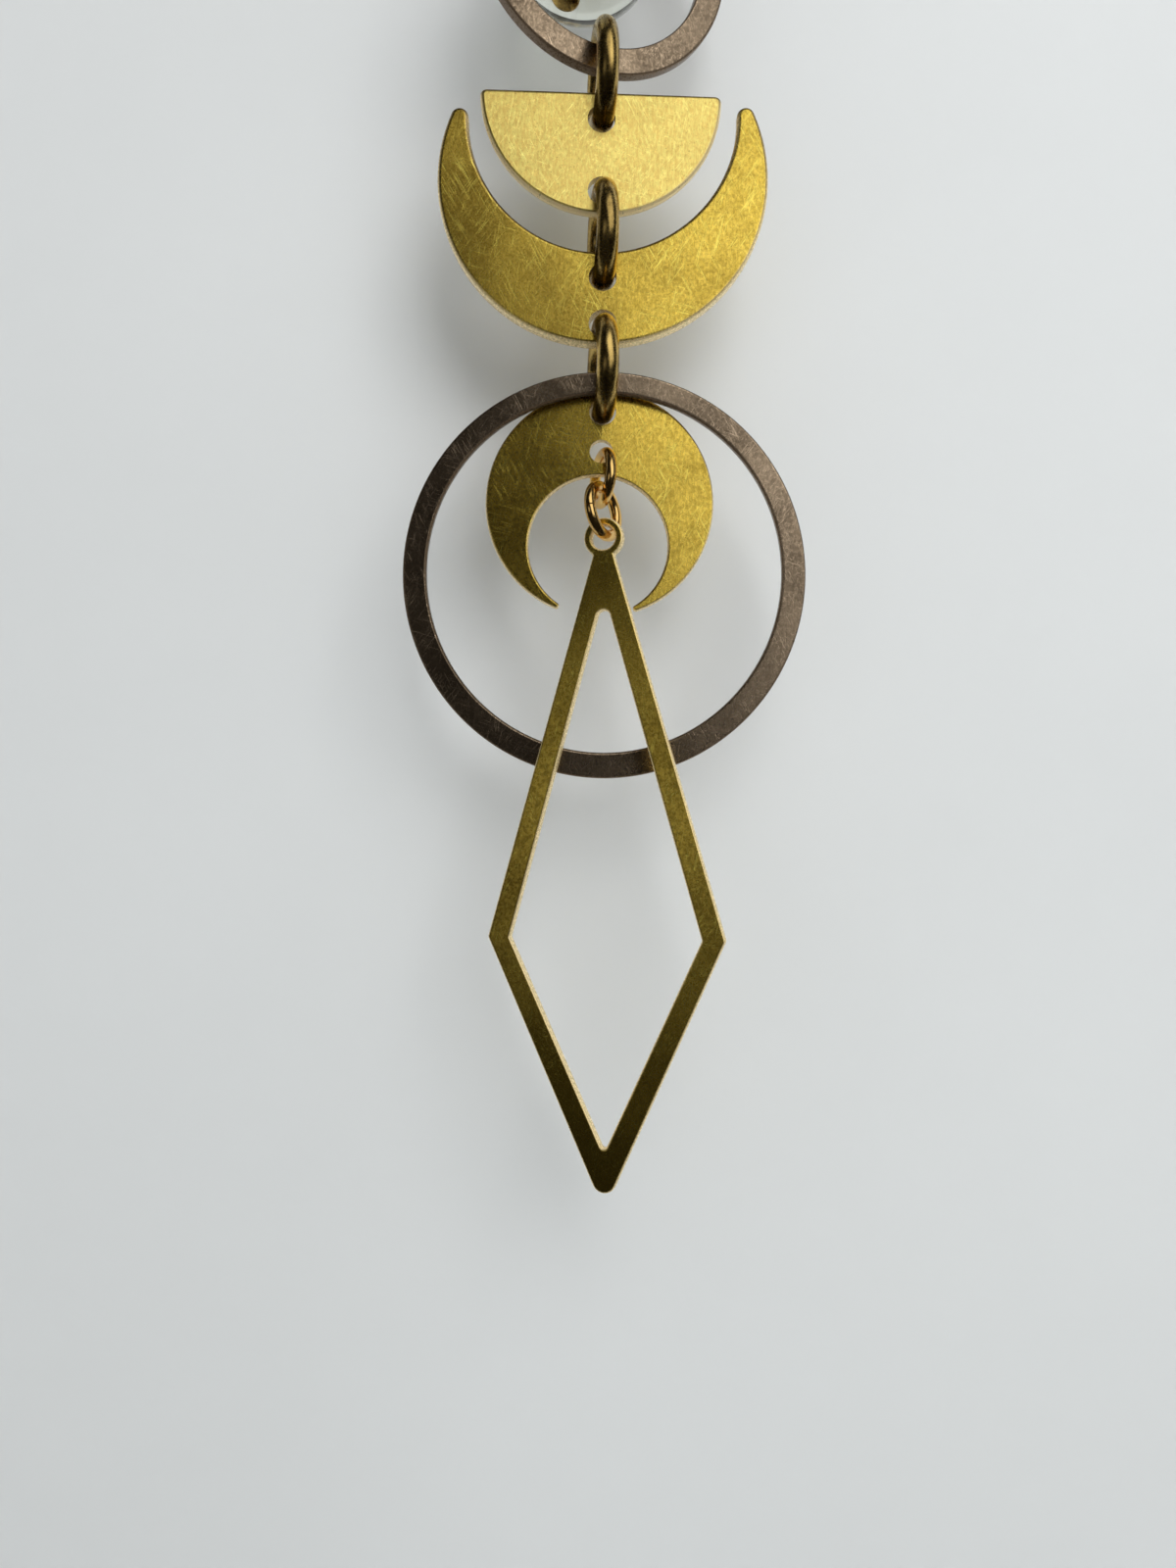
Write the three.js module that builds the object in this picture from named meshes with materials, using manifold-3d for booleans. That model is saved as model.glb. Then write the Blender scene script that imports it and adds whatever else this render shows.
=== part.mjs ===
// A hanging mobile of flat brass shapes on jump rings, with a glass ball in its top ring.
// Millimetres, +Z up, +X to the right, +Y away from the viewer.
// The origin is the highest point inside the hanging ring, where a hook carries the mobile.

import * as THREE from 'three';
import { mergeVertices } from 'three/addons/utils/BufferGeometryUtils.js';
import Module from 'manifold-3d';

const wasm = await Module();
wasm.setup();

const degrees = THREE.MathUtils.degToRad;

// ---- Driving dimensions ----

const contactGap = 0.1;
const roundness = 0.022; // how far a straight facet may leave its true arc
const edgeBreak = 0.12; // small chamfer that stands for the tumbled edge of every plate

const hanger = { innerRadius: 4.4, wire: 1.6 };
const jump = { outerRadius: 4, wire: 1.65, turn: degrees(6.5) };
const link = { outerRadius: 2.3, wire: 0.85 };

const links = [
  { name: 'small_link_upper', centre: [0.01, 0.29, -61.44], turn: degrees(18), lean: degrees(4) },
  { name: 'small_link_lower', centre: [0.04, -0.34, -64.06], turn: degrees(-31.5), lean: degrees(-9) },
];

const topRing = { outerRadius: 10, innerRadius: 8, thickness: 1, turn: degrees(20) };

const ball = { radius: 5.6, bore: 0.55, x: -1.4, rise: 0.3 };
const pin = { radius: 0.4, headRadius: 1.1, headHeight: 0.55, stem: 5.78 };
const pinAxis = new THREE.Vector3(0.24, 0.268, 0.933).normalize();
const pinLoop = { radius: 1.66, x: -0.2, y: 1.62, rise: 7.37 };

const halfDisc = {
  radius: 9.07,
  flatRise: 0.13, // the flat edge is cut this far above the circle's centre
  corner: 0.5,
  thickness: 0.8,
  holeRadius: 1.05,
  holeDrops: [1.9, 7.28],
  x: -0.1,
  turn: degrees(3.2),
};

const largeCrescent = {
  outerRadius: 12.37,
  innerRadius: 10.05,
  offset: 4.62,
  tip: 0.66,
  thickness: 1.2,
  holeRadius: 1.05,
  holeDrops: [7.34, 10.82],
};

const largeRing = {
  outerRadius: 15.12,
  innerRadius: 13.36,
  offset: 0.18, // the hole is a little above the middle, so the band is slimmer at the top
  thickness: 0.8,
  x: 0.1,
  y: -0.6,
  tilt: degrees(3.3),
};

const smallCrescent = {
  outerRadius: 8.6,
  innerRadius: 5.26,
  offset: 3.24,
  tip: 0.22,
  thickness: 1,
  hangingHole: { radius: 1.02, drop: 6.85 },
  linkHole: { radius: 0.875, drop: 3.83 },
  lean: degrees(2),
  y: 0.45,
};

const kite = {
  eyeOuter: 1.5,
  eyeInner: 0.9,
  shoulderDrop: 29.7, // from the eye's centre down to the widest level
  halfWidth: 8.95,
  outerSlopeTop: 0.287, // half width gained for each millimetre down
  outerApex: 49.3,
  tipRadius: 0.91,
  innerTop: 4.1,
  innerHalfWidth: 7.22,
  innerApex: 45.15,
  innerTopRadius: 0.5,
  innerTipRadius: 0.25,
  cornerRadius: 0.45,
  innerCornerRadius: 0.2,
  thickness: 0.8,
  turn: degrees(-14.5),
  tilt: degrees(-2.8), // the lower end swings a little towards the viewer
  x: 0.12,
  y: -0.55,
  z: -66.15,
};

// ---- Materials ----

const finishes = {
  brightBrass: { color: 0xd8b865, roughness: 0.35, metalness: 1 },
  oliveBrass: { color: 0x8f7a2c, roughness: 0.4, metalness: 1 },
  antiqueBronze: { color: 0x5a4f3c, roughness: 0.5, metalness: 1 },
  antiqueWire: { color: 0x6d5a2a, roughness: 0.3, metalness: 1 },
  goldWire: { color: 0xe0b04a, roughness: 0.15, metalness: 1 },
  clearGlass: { color: 0xe8efee, roughness: 0.03, metalness: 0 },
};

// ---- Outlines ----

// Points along an arc; the sweep runs clockwise where end is less than start.
function arc(x, y, radius, start, end) {
  const step = 2 * Math.acos(1 - roundness / radius);
  const count = Math.max(3, Math.ceil(Math.abs(end - start) / step));
  const points = [];
  for (let i = 0; i <= count; i += 1) {
    const angle = start + ((end - start) * i) / count;
    points.push(new THREE.Vector2(x + radius * Math.cos(angle), y + radius * Math.sin(angle)));
  }
  return points;
}

function circle(x, y, radius) {
  return arc(x, y, radius, 0, 2 * Math.PI).slice(0, -1);
}

// The round that replaces the corner of two straight sides.
function roundCorner(before, corner, after, radius) {
  const toBefore = before.clone().sub(corner).normalize();
  const toAfter = after.clone().sub(corner).normalize();
  const halfAngle = Math.acos(toBefore.dot(toAfter)) / 2;
  const middle = toBefore.clone().add(toAfter).normalize();
  const centre = middle.multiplyScalar(radius / Math.sin(halfAngle)).add(corner);
  const first = toBefore.multiplyScalar(radius / Math.tan(halfAngle)).add(corner).sub(centre);
  const last = toAfter.multiplyScalar(radius / Math.tan(halfAngle)).add(corner).sub(centre);
  const start = Math.atan2(first.y, first.x);
  const sweep = Math.atan2(first.cross(last), first.dot(last));
  return arc(centre.x, centre.y, radius, start, start + sweep);
}

function outline(points, holes) {
  const shape = new THREE.Shape(points.filter((point, i) => {
    const next = points[(i + 1) % points.length];
    return point.distanceTo(next) > 1e-4;
  }));
  for (const hole of holes) shape.holes.push(new THREE.Path(hole));
  return shape;
}

function ringOutline({ outerRadius, innerRadius, offset = 0 }) {
  return outline(circle(0, 0, outerRadius), [circle(0, offset, innerRadius)]);
}

function halfDiscOutline({ radius, flatRise, corner, holeRadius, holeDrops }) {
  const cornerY = flatRise - corner;
  const cornerX = Math.sqrt((radius - corner) ** 2 - cornerY ** 2);
  const tangent = Math.atan2(cornerY, cornerX);
  const points = [
    ...arc(cornerX, cornerY, corner, Math.PI / 2, tangent),
    ...arc(0, 0, radius, tangent, -Math.PI - tangent),
    ...arc(-cornerX, cornerY, corner, Math.PI - tangent, Math.PI / 2),
  ];
  return outline(points, holeDrops.map((drop) => circle(0, -drop, holeRadius)));
}

// Horns up, about the centre of the outer circle; each horn ends in a small round.
function crescentOutline({ outerRadius, innerRadius, offset, tip }, holes) {
  const outerReach = outerRadius - tip;
  const innerReach = innerRadius + tip;
  const tipY = (outerReach ** 2 - innerReach ** 2 + offset ** 2) / (2 * offset);
  const tipX = Math.sqrt(outerReach ** 2 - tipY ** 2);
  const onOuter = Math.atan2(tipY, tipX);
  const toInner = Math.atan2(offset - tipY, tipX);
  const points = [
    ...arc(0, 0, outerRadius, onOuter, -Math.PI - onOuter),
    ...arc(-tipX, tipY, tip, Math.PI - onOuter, toInner),
    ...arc(0, offset, innerRadius, Math.PI + toInner, 2 * Math.PI - toInner),
    ...arc(tipX, tipY, tip, Math.PI - toInner, onOuter),
  ];
  return outline(points, holes);
}

// A long kite frame that hangs from a round eye, about the eye's centre.
function kiteOutline(k) {
  const vector = (x, y) => new THREE.Vector2(x, y);
  const lowerSlope = k.halfWidth / (k.outerApex - k.shoulderDrop);
  const sideAtEye = k.halfWidth - k.outerSlopeTop * k.shoulderDrop;
  const a = 1 + k.outerSlopeTop ** 2;
  const b = sideAtEye * k.outerSlopeTop;
  const neckDrop = (-b + Math.sqrt(b ** 2 - a * (sideAtEye ** 2 - k.eyeOuter ** 2))) / a;
  const neck = vector(sideAtEye + k.outerSlopeTop * neckDrop, -neckDrop);
  const right = vector(k.halfWidth, -k.shoulderDrop);
  const left = vector(-k.halfWidth, -k.shoulderDrop);
  const apex = vector(0, -k.outerApex);
  const neckAngle = Math.atan2(neck.y, neck.x);
  const leftNeck = vector(-neck.x, neck.y);
  const points = [
    ...arc(0, 0, k.eyeOuter, neckAngle, Math.PI - neckAngle),
    ...roundCorner(leftNeck, left, apex, k.cornerRadius),
    ...roundCorner(vector(-lowerSlope, 1 - k.outerApex), apex, right, k.tipRadius),
    ...roundCorner(apex, right, neck, k.cornerRadius),
  ];
  const innerTop = vector(0, -k.innerTop);
  const innerApex = vector(0, -k.innerApex);
  const innerRight = vector(k.innerHalfWidth, -k.shoulderDrop);
  const innerLeft = vector(-k.innerHalfWidth, -k.shoulderDrop);
  const opening = [
    ...roundCorner(innerRight, innerTop, innerLeft, k.innerTopRadius),
    ...roundCorner(innerTop, innerLeft, innerApex, k.innerCornerRadius),
    ...roundCorner(innerLeft, innerApex, innerRight, k.innerTipRadius),
    ...roundCorner(innerApex, innerRight, innerTop, k.innerCornerRadius),
  ];
  return outline(points, [circle(0, 0, k.eyeInner), opening]);
}

// ---- Solids ----

// A sheet cut to an outline in the XZ plane, centred on its own thickness.
function plate(shape, thickness) {
  const depth = thickness - 2 * edgeBreak;
  const geometry = new THREE.ExtrudeGeometry(shape, {
    depth,
    bevelEnabled: true,
    bevelThickness: edgeBreak,
    bevelSize: edgeBreak,
    bevelOffset: -edgeBreak,
    bevelSegments: 1,
  });
  geometry.rotateX(Math.PI / 2);
  geometry.translate(0, depth / 2, 0);
  return closed(geometry);
}

// A round wire bent into a ring whose axis is X.
function wireRing(outerRadius, wire, steps, sides) {
  const geometry = new THREE.TorusGeometry(outerRadius - wire / 2, wire / 2, sides, steps);
  geometry.rotateY(Math.PI / 2);
  return closed(geometry);
}

function closed(geometry) {
  geometry.deleteAttribute('normal');
  geometry.deleteAttribute('uv');
  const welded = mergeVertices(geometry, 1e-5);
  welded.computeVertexNormals();
  return welded;
}

function toSolid(geometry) {
  const bare = geometry.clone();
  bare.deleteAttribute('normal');
  return new wasm.Manifold(new wasm.Mesh({
    numProp: 3,
    vertProperties: new Float32Array(bare.attributes.position.array),
    triVerts: new Uint32Array(bare.index.array),
  }));
}

function toGeometry(solid) {
  const mesh = solid.getMesh();
  const geometry = new THREE.BufferGeometry();
  geometry.setAttribute('position', new THREE.BufferAttribute(mesh.vertProperties, 3));
  geometry.setIndex(new THREE.BufferAttribute(mesh.triVerts, 1));
  return closed(geometry);
}

const alongPin = new THREE.Quaternion().setFromUnitVectors(new THREE.Vector3(0, 1, 0), pinAxis);

// A clear ball drilled along the pin, about the ball's centre.
function drilledBall() {
  const opening = Math.asin(ball.bore / ball.radius);
  const profile = arc(0, 0, ball.radius, opening - Math.PI / 2, Math.PI / 2 - opening);
  const steps = 16;
  const bandStep = Math.ceil(profile.length / steps);
  const meridian = profile.filter((_, i) => i % bandStep === 0 || i === profile.length - 1);
  meridian.push(meridian[0].clone());
  const geometry = new THREE.LatheGeometry(meridian, 2 * steps);
  geometry.applyQuaternion(alongPin);
  return closed(geometry);
}

// A head pin through the ball: a domed head below and a turned loop above.
function headPin(loopCentre) {
  const seat = -ball.radius - contactGap + 0.02;
  const profile = [
    new THREE.Vector2(0, seat - pin.headHeight),
    new THREE.Vector2(pin.headRadius * 0.6, seat - pin.headHeight * 0.85),
    new THREE.Vector2(pin.headRadius, seat - pin.headHeight * 0.35),
    new THREE.Vector2(pin.headRadius, seat),
    new THREE.Vector2(pin.radius, seat),
    new THREE.Vector2(pin.radius, pin.stem),
    new THREE.Vector2(0, pin.stem),
  ];
  const stem = new THREE.LatheGeometry(profile, 16);
  stem.applyQuaternion(alongPin);
  const loop = new THREE.TorusGeometry(pinLoop.radius, pin.radius, 8, 24);
  loop.rotateX(Math.PI / 2);
  loop.translate(loopCentre.x, loopCentre.y, loopCentre.z);
  return toGeometry(toSolid(closed(stem)).add(toSolid(closed(loop))));
}

// ---- Assembly, from the hook down ----

const group = new THREE.Group();

function add(name, geometry, finish) {
  const mesh = new THREE.Mesh(geometry, new THREE.MeshStandardMaterial(finishes[finish]));
  mesh.name = name;
  group.add(mesh);
  return mesh;
}

function addJumpRing(name, z) {
  const mesh = add(name, wireRing(jump.outerRadius, jump.wire, 32, 10), 'antiqueWire');
  mesh.position.z = z;
  mesh.rotation.z = jump.turn;
}

// How far below or above a jump ring's centre its inside is, at a distance from its middle.
const jumpInner = jump.outerRadius - jump.wire;
const jumpMean = jump.outerRadius - jump.wire / 2;
const insideReach = (distance) => Math.sqrt(jumpInner ** 2 - distance ** 2);

const hangingRingZ = -hanger.innerRadius;
const topJumpZ = -2 * hanger.innerRadius + contactGap - jumpInner;
const topRingTop = topJumpZ - insideReach(topRing.thickness / 2) + contactGap;
const topRingZ = topRingTop - topRing.innerRadius;
const topRingBottom = topRingZ - topRing.innerRadius;
const upperJumpZ = topRingBottom + contactGap - insideReach(topRing.thickness / 2);
const halfDiscZ = upperJumpZ - jumpMean - contactGap + halfDisc.holeDrops[0];
const middleJumpZ = halfDiscZ - halfDisc.holeDrops[1] - contactGap - jumpMean;
const largeCrescentZ = middleJumpZ - jumpMean - contactGap + largeCrescent.holeDrops[0];
const lowerJumpZ = largeCrescentZ - largeCrescent.holeDrops[1] - contactGap - jumpMean;
const bandReach = insideReach(largeRing.thickness / 2 - largeRing.y);
const largeRingTop = lowerJumpZ - bandReach + contactGap;
const hangingHoleZ = lowerJumpZ - jumpMean + contactGap;

const hangingRing = add(
  'hanging_ring',
  wireRing(hanger.innerRadius + hanger.wire, hanger.wire, 40, 12),
  'antiqueWire',
);
hangingRing.position.z = hangingRingZ;
hangingRing.rotation.z = Math.PI / 2;

addJumpRing('jump_ring_top', topJumpZ);

const upperRing = add('top_ring', plate(ringOutline(topRing), topRing.thickness), 'antiqueBronze');
upperRing.position.z = topRingZ;
upperRing.rotation.z = topRing.turn;

const ballZ = topRingZ + ball.rise;
const glassBall = add('glass_ball', drilledBall(), 'clearGlass');
glassBall.position.set(ball.x, 0, ballZ);
const loopCentre = new THREE.Vector3(pinLoop.x - ball.x, pinLoop.y, pinLoop.rise);
const ballPin = add('ball_pin', headPin(loopCentre), 'antiqueWire');
ballPin.position.set(ball.x, 0, ballZ);

addJumpRing('jump_ring_upper', upperJumpZ);

const disc = add(
  'half_disc',
  plate(halfDiscOutline(halfDisc), halfDisc.thickness),
  'brightBrass',
);
disc.position.set(halfDisc.x, 0, halfDiscZ);
disc.rotation.z = halfDisc.turn;

addJumpRing('jump_ring_middle', middleJumpZ);

const crescentHoles = largeCrescent.holeDrops.map((drop) => {
  return circle(0, -drop, largeCrescent.holeRadius);
});
const crescent = add(
  'large_crescent',
  plate(crescentOutline(largeCrescent, crescentHoles), largeCrescent.thickness),
  'oliveBrass',
);
crescent.position.z = largeCrescentZ;

addJumpRing('jump_ring_lower', lowerJumpZ);

// The kite in front of it pushes the foot of the large ring a little way back.
const lowerRing = add(
  'large_ring',
  plate(ringOutline(largeRing), largeRing.thickness),
  'antiqueBronze',
);
const ringDrop = largeRing.innerRadius + largeRing.offset;
const bandBack = ringDrop * Math.sin(largeRing.tilt);
const bandDown = ringDrop * Math.cos(largeRing.tilt);
lowerRing.position.set(largeRing.x, largeRing.y + bandBack, largeRingTop - bandDown);
lowerRing.rotation.x = largeRing.tilt;

// The small crescent hangs horns down from its hole, leaning a little to one side.
const { hangingHole, linkHole } = smallCrescent;
const hornsDown = new THREE.Group();
hornsDown.position.set(0, smallCrescent.y, hangingHoleZ);
hornsDown.rotation.y = Math.PI + smallCrescent.lean;
const smallHoles = [hangingHole, linkHole].map(({ radius, drop }) => circle(0, -drop, radius));
const smallMesh = new THREE.Mesh(
  plate(crescentOutline(smallCrescent, smallHoles), smallCrescent.thickness),
  new THREE.MeshStandardMaterial(finishes.oliveBrass),
);
smallMesh.name = 'small_crescent';
smallMesh.position.z = hangingHole.drop;
hornsDown.add(smallMesh);
group.add(hornsDown);

const kitePlate = add('kite_drop', plate(kiteOutline(kite), kite.thickness), 'oliveBrass');
kitePlate.position.set(kite.x, kite.y, kite.z);
kitePlate.rotation.set(kite.tilt, 0, kite.turn);

// Two small links join the small crescent to the kite; each pose is a centre and two turns.
for (const { name, centre, turn, lean } of links) {
  const mesh = add(name, wireRing(link.outerRadius, link.wire, 24, 8), 'goldWire');
  mesh.position.set(...centre);
  mesh.rotation.set(0, lean, turn, 'YXZ');
}

export default group;
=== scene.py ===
from math import acos, atan2, cos, pi, radians, sin, sqrt, tan

import bpy
from mathutils import Matrix, Vector


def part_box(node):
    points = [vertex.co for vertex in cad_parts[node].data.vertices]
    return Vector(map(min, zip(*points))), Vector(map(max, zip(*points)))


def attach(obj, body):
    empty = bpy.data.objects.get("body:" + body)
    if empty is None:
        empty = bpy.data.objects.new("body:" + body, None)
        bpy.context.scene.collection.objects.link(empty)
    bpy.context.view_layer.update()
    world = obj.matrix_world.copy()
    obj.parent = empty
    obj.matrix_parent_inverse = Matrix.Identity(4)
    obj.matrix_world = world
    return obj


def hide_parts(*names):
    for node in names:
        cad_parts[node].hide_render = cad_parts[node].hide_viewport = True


bl_info = {
    "name": "Brass mobile",
    "version": (1, 0, 0),
    "blender": (4, 5, 0),
    "location": "3D View > Sidebar > Mobile",
    "description": "Models a hanging mobile of flat brass shapes, jump rings and a glass ball",
    "category": "Add Mesh",
}

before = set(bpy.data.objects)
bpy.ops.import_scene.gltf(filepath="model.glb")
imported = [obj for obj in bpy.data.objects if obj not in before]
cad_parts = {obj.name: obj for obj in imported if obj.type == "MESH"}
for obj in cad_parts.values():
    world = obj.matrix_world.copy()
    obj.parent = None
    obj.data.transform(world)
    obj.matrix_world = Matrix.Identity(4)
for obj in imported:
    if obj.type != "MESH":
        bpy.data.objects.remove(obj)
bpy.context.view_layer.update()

MM = 0.001

# Turns about the upright axis, which the finishes of these pieces follow.
TOP_RING_TURN = radians(20)
KITE_TURN = radians(-14.5)

# How far the chord of a drawn arc may stand off it, the radius below which an arc is stepped as if
# it had this one, and how near two points of an outline are made one, all in millimetres.
CHORD_SAG = 0.0025
LEAST_RADIUS = 0.1
WELD = 0.004

# Radius of the holes that the jump rings pass through, in millimetres.
RING_HOLE = 1.05

# The finest rounding, for the slim tips of the small crescent, in millimetres.
SLIM_EDGE = 0.17
# How much of the usual rounding the rings and the kite keep on their crisper edges.
CRISP = 0.6


# ---------------------------------------------------------------- settings


def length_property(name, description, default):
    return bpy.props.FloatProperty(
        name=name, description=description, default=default * MM, unit="LENGTH"
    )


def colour_property(name, description, default):
    return bpy.props.FloatVectorProperty(
        name=name, description=description, default=default, subtype="COLOR", size=3, min=0, max=1
    )


class MobileSizes(bpy.types.PropertyGroup):
    """Sizes of the mobile's pieces."""

    jump_radius: length_property("Jump ring", "Outer radius of the jump rings", 4.0)
    jump_wire: length_property("Jump wire", "Wire thickness of the jump rings", 1.65)
    link_radius: length_property("Small link", "Outer radius of the small links", 2.3)
    link_wire: length_property("Link wire", "Wire thickness of the small links", 0.85)
    hanger_radius: length_property("Hanging ring", "Outer radius of the hanging ring", 6.0)
    hanger_wire: length_property("Hanger wire", "Wire thickness of the hanging ring", 1.6)
    ball_radius: length_property("Glass ball", "Radius of the glass ball", 5.6)
    edge_round: length_property("Edge rounding", "Radius of the tumbled sheet edges", 0.30)


class MobileColours(bpy.types.PropertyGroup):
    """Colours of the mobile's finishes."""

    bright_brass: colour_property("Bright brass", "Half disc", (0.86, 0.62, 0.17))
    olive_brass: colour_property("Olive brass", "Crescents and kite", (0.74, 0.52, 0.075))
    bronze: colour_property("Antique bronze", "Flat rings", (0.48, 0.36, 0.24))
    wire: colour_property("Antique wire", "Jump rings", (0.72, 0.50, 0.16))
    gold: colour_property("Gold wire", "Small links", (0.90, 0.58, 0.20))
    patina: colour_property("Patina", "Brown tarnish in the hollows", (0.14, 0.08, 0.012))
    wall: colour_property("Wall", "Wall and floor", (0.78, 0.80, 0.80))


# ---------------------------------------------------------------- small tools


def deselect_all():
    if bpy.context.mode != "OBJECT":
        bpy.ops.object.mode_set(mode="OBJECT")
    bpy.ops.object.select_all(action="DESELECT")


def take(obj):
    """Makes obj the only selected object and the active one."""
    deselect_all()
    obj.select_set(True)
    bpy.context.view_layer.objects.active = obj


def edit(obj, select="SELECT"):
    take(obj)
    bpy.ops.object.mode_set(mode="EDIT")
    bpy.ops.mesh.select_mode(type="VERT")
    bpy.ops.mesh.select_all(action=select)


def leave_edit():
    bpy.ops.object.mode_set(mode="OBJECT")


def named(name):
    obj = bpy.context.active_object
    obj.name = name
    obj.data.name = name
    return obj


def apply_modifier(obj, kind, **settings):
    take(obj)
    modifier = obj.modifiers.new(kind.title(), kind)
    for key, value in settings.items():
        setattr(modifier, key, value)
    bpy.ops.object.modifier_apply(modifier=modifier.name)


def cut_away(obj, tool, operation="DIFFERENCE"):
    apply_modifier(obj, "BOOLEAN", operation=operation, object=tool, solver="EXACT")
    bpy.data.objects.remove(tool)


def put_in_place(obj, matrix):
    """Turns and moves the finished mesh to its place, and leaves the object at the origin."""
    obj.matrix_world = matrix
    take(obj)
    bpy.ops.object.transform_apply(location=True, rotation=True, scale=True)


def node_middle(name):
    low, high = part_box(name)
    return (Vector(low) + Vector(high)) / 2


def node_bottom(name):
    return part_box(name)[0][2]


def node_top(name):
    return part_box(name)[1][2]


def hand_over(obj, node, material):
    """Gives a finished piece its finish, its body and the CAD node it stands for."""
    obj.data.materials.clear()
    obj.data.materials.append(material)
    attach(obj, "root")
    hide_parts(node)


# ---------------------------------------------------------------- outlines

# An outline is drawn in the XZ plane: a start point, then arcs and straight lines from there on.


def start_outline(name, x, z):
    """A mesh with one vertex, from which the outline is drawn."""
    deselect_all()
    bpy.ops.mesh.primitive_plane_add(size=MM, location=(0, 0, 0))
    obj = named(name)
    edit(obj)
    bpy.ops.mesh.merge(type="CENTER")
    bpy.ops.transform.translate(value=(x * MM, 0, z * MM))
    return obj


def arc_to(x, z, turn, radius):
    """Spins the last vertex about (x, z) by an angle; positive is anticlockwise from the front."""
    step = 2 * acos(1 - CHORD_SAG / max(radius, LEAST_RADIUS))
    steps = max(4, round(abs(turn) / step))
    bpy.ops.mesh.spin(
        steps=steps,
        angle=turn,
        center=(x * MM, 0, z * MM),
        axis=(0, 1, 0),
        use_auto_merge=False,
    )


def line_by(dx, dz):
    bpy.ops.mesh.extrude_vertices_move(
        TRANSFORM_OT_translate={"value": (dx * MM, 0, dz * MM)}
    )


def ring_line(x, z, radius, segments=96):
    bpy.ops.mesh.primitive_circle_add(
        vertices=segments,
        radius=radius * MM,
        fill_type="NOTHING",
        location=(x * MM, 0, z * MM),
        rotation=(pi / 2, 0, 0),
    )


def fill_outline(obj, thickness):
    """Closes the drawn lines, fills them and pulls the sheet to its thickness."""
    bpy.ops.mesh.select_all(action="SELECT")
    bpy.ops.mesh.remove_doubles(threshold=WELD * MM)
    bpy.ops.mesh.fill(use_beauty=True)
    bpy.ops.mesh.select_all(action="SELECT")
    bpy.ops.transform.translate(value=(0, -thickness / 2 * MM, 0))
    bpy.ops.mesh.extrude_region_move(
        TRANSFORM_OT_translate={"value": (0, thickness * MM, 0)}
    )
    bpy.ops.mesh.select_all(action="SELECT")
    bpy.ops.mesh.normals_make_consistent(inside=False)
    bpy.ops.mesh.dissolve_limited(angle_limit=radians(0.3))
    leave_edit()
    return obj


def shade_sheet(obj):
    """Shades an upright sheet smooth, apart from its two flat faces."""
    take(obj)
    bpy.ops.object.shade_smooth_by_angle(angle=radians(50))
    for face in obj.data.polygons:
        face.select = abs(face.normal.y) > 0.999
    bpy.ops.object.mode_set(mode="EDIT")
    bpy.ops.mesh.select_mode(type="FACE")
    bpy.ops.mesh.faces_shade_flat()
    leave_edit()


def round_edges(obj, radius):
    """Rounds the sheet's cut edges as tumbling does, and keeps its flat faces flat."""
    apply_modifier(
        obj,
        "BEVEL",
        width=radius,
        segments=5,
        limit_method="ANGLE",
        angle_limit=radians(55),
        use_clamp_overlap=False,
        loop_slide=False,
    )
    shade_sheet(obj)


def drill(obj, holes):
    """Drills round holes through an upright sheet; each is a height and a radius."""
    for z, radius in holes:
        deselect_all()
        bpy.ops.mesh.primitive_cylinder_add(
            vertices=96,
            radius=radius * MM,
            depth=6 * MM,
            location=(0, 0, z * MM),
            rotation=(pi / 2, 0, 0),
        )
        tool = named("drill")
        bpy.ops.object.transform_apply(location=True, rotation=True, scale=True)
        cut_away(obj, tool)
    shade_sheet(obj)


# ---------------------------------------------------------------- finishes


# Sockets of a colour Mix node: its two colours and its result.
FIRST_COLOUR, SECOND_COLOUR, MIXED = 6, 7, 2

# Crossing scratches on the sheets: direction in degrees, length and width in millimetres, offset of
# the pattern, and the noise above which a scratch shows.
SCRATCHES = (
    (28, 2.6, 0.09, 11, 0.60),
    (-37, 2.2, 0.08, 37, 0.61),
    (74, 2.0, 0.08, 71, 0.62),
    (-12, 3.0, 0.09, 93, 0.62),
)


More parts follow.
